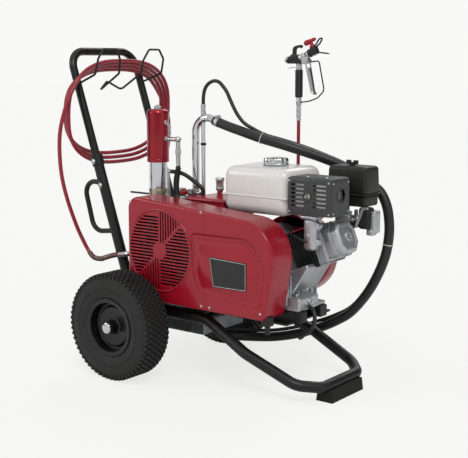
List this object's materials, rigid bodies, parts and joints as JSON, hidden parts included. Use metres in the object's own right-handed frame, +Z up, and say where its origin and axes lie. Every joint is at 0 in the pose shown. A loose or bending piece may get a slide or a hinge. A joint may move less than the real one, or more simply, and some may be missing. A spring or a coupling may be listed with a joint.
{
  "type": "airless paint sprayer",
  "caption": "Petrol-driven hydraulic airless paint sprayer on a two-wheeled cart, with a belt guard, paint pump, suction hose, coiled paint hose and spray gun.",
  "frame": {"origin": "centre of the cart's footprint at floor level, without its hoses", "axes": "+X towards the front foot, +Z up, -Y the belt guard's side"},
  "size_m": [1.0034, 0.6538, 1.0308],
  "materials": {
    "black_frame": "black powder coat",
    "handle_enamel": "satin black powder coat, worn",
    "foot_rubber": "moulded",
    "tyre_rubber": "moulded tread",
    "rim_paint": "black paint",
    "chrome_plate": "polished",
    "bearing_steel": "ground",
    "guard_red": "red powder coat",
    "badge_black": "satin",
    "belt_rubber": "matt",
    "pulley_iron": "machined",
    "zinc_steel": "zinc plated",
    "cast_aluminium": "as cast",
    "black_aluminium": "black paint",
    "pump_iron": "painted grey",
    "stainless": "turned",
    "black_plastic": "moulded",
    "red_plastic": "moulded",
    "black_hose": "smooth cover",
    "red_hose": "extruded cover",
    "muffler_steel": "heat stained",
    "tank_enamel": "warm white enamel",
    "gun_black": "anodised black"
  },
  "bodies": {
    "frame": {"frame_tube": "black_frame", "upright_tubes": "black_frame", "lift_handle": "black_frame", "base_frame": "black_frame", "foot_pad": "foot_rubber", "axle": "chrome_plate", "wheel_bearings": "bearing_steel", "fan_guard": "guard_red", "belt_guard": "guard_red", "guard_backplate": "guard_red", "badge_plate": "badge_black", "drive_belt": "belt_rubber", "reservoir": "guard_red", "oil_cooler": "cast_aluminium", "hydraulic_pump": "pump_iron", "motor_cap": "guard_red", "motor_tube": "chrome_plate", "motor_fittings": "zinc_steel", "hydraulic_hoses": "black_hose", "fluid_section": "stainless", "suction_tubes": "chrome_plate", "crankcase": "cast_aluminium", "engine_cylinder": "black_aluminium", "cylinder_head": "cast_aluminium", "muffler": "muffler_steel", "muffler_guard": "black_frame", "air_cleaner": "black_plastic", "carburettor": "cast_aluminium", "blower_housing": "guard_red", "fuel_tank": "tank_enamel", "siphon_hose": "black_hose", "bleed_hose": "black_hose", "siphon_strainer": "zinc_steel", "feed_hose": "red_hose", "whip_hose": "red_hose", "gun_clip": "black_plastic"},
    "wheel_right": {"tyre_right": "tyre_rubber", "rim_right": "rim_paint"},
    "wheel_left": {"tyre_left": "tyre_rubber", "rim_left": "rim_paint"},
    "handle": {"handle_legs": "handle_enamel", "handle_bow": "handle_enamel", "hose_rack": "black_frame", "hose_coil": "red_hose", "hose_coupling": "zinc_steel"},
    "crank": {"crankshaft": "bearing_steel", "drive_pulley": "pulley_iron"},
    "fan": {"fan_pulley": "pulley_iron"},
    "pump": {"pump_rod": "chrome_plate"},
    "bleed_valve": {"bleed_lever": "red_plastic"},
    "pressure_control": {"pressure_knob": "black_plastic"},
    "oil_cap": {"filler_cap": "zinc_steel"},
    "tank_cap": {"fuel_cap": "zinc_steel"},
    "air_cleaner_nut": {"cleaner_knob": "black_plastic"},
    "throttle": {"throttle_lever": "black_plastic"},
    "starter_grip": {"recoil_grip": "black_plastic"},
    "gun": {"gun_body": "gun_black", "tip_guard": "black_plastic"},
    "trigger": {"gun_trigger": "chrome_plate"},
    "tip": {"spray_tip": "red_plastic"}
  },
  "joints": [
    {"name": "wheel_right_spin", "type": "hinge", "parent": "frame", "child": "wheel_right", "pos_m": [-0.16412, -0.267, 0.165], "axis": [0, 1, 0], "continuous": true},
    {"name": "wheel_left_spin", "type": "hinge", "parent": "frame", "child": "wheel_left", "pos_m": [-0.16412, 0.267, 0.165], "axis": [0, 1, 0], "continuous": true},
    {"name": "handle_slide", "type": "slide", "parent": "frame", "child": "handle", "axis": [-0.3223, 0, 0.9466], "range_m": [-0.055, 0]},
    {"name": "crank_spin", "type": "hinge", "parent": "frame", "child": "crank", "pos_m": [0.23088, 0, 0.37], "axis": [0, 1, 0], "continuous": true},
    {"name": "fan_spin", "type": "hinge", "parent": "frame", "child": "fan", "pos_m": [-0.05612, -0.15, 0.397], "axis": [0, 1, 0], "continuous": true},
    {"name": "pump_stroke", "type": "slide", "parent": "frame", "child": "pump", "axis": [0, 0, 1], "range_m": [0, 0.06]},
    {"name": "bleed_lever_turn", "type": "hinge", "parent": "frame", "child": "bleed_valve", "pos_m": [-0.10712, -0.01, 0.551], "axis": [1, 0, 0], "range_deg": [-60, 0]},
    {"name": "pressure_turn", "type": "hinge", "parent": "frame", "child": "pressure_control", "pos_m": [-0.11212, -0.082, 0.397], "axis": [1, 0, 0], "range_deg": [0, 300]},
    {"name": "oil_cap_turn", "type": "hinge", "parent": "frame", "child": "oil_cap", "pos_m": [0.01888, 0, 0.566], "axis": [0, 0, 1], "range_deg": [0, 90]},
    {"name": "tank_cap_turn", "type": "hinge", "parent": "frame", "child": "tank_cap", "pos_m": [0.21588, 0.02, 0.656], "axis": [0, 0, 1], "range_deg": [0, 90]},
    {"name": "air_cleaner_nut_turn", "type": "hinge", "parent": "frame", "child": "air_cleaner_nut", "pos_m": [0.41738, 0.122, 0.658], "axis": [0, 0, 1], "range_deg": [0, 170]},
    {"name": "throttle_turn", "type": "hinge", "parent": "frame", "child": "throttle", "pos_m": [0.40988, 0.115, 0.501], "axis": [0, 1, 0], "range_deg": [-35, 35]},
    {"name": "starter_pull", "type": "slide", "parent": "frame", "child": "starter_grip", "axis": [-0.5736, 0, 0.8192], "range_m": [0, 0.05], "stiffness_N_per_m": 60},
    {"name": "gun_swivel", "type": "hinge", "parent": "frame", "child": "gun", "pos_m": [0.18988, 0.175, 0.804], "axis": [0, 0, 1], "continuous": true},
    {"name": "trigger_pull", "type": "hinge", "parent": "gun", "child": "trigger", "pos_m": [0.21988, 0.175, 0.96], "axis": [0, 1, 0], "range_deg": [0, 14], "stiffness_Nm_per_rad": 1.2},
    {"name": "tip_turn", "type": "hinge", "parent": "gun", "child": "tip", "pos_m": [0.24331, 0.175, 0.98836], "axis": [-0.3746, 0, 0.9272], "range_deg": [0, 180]}
  ],
  "couplings": [
    {"joint": "fan_spin", "follows": "crank_spin", "ratio": 0.4}
  ]
}
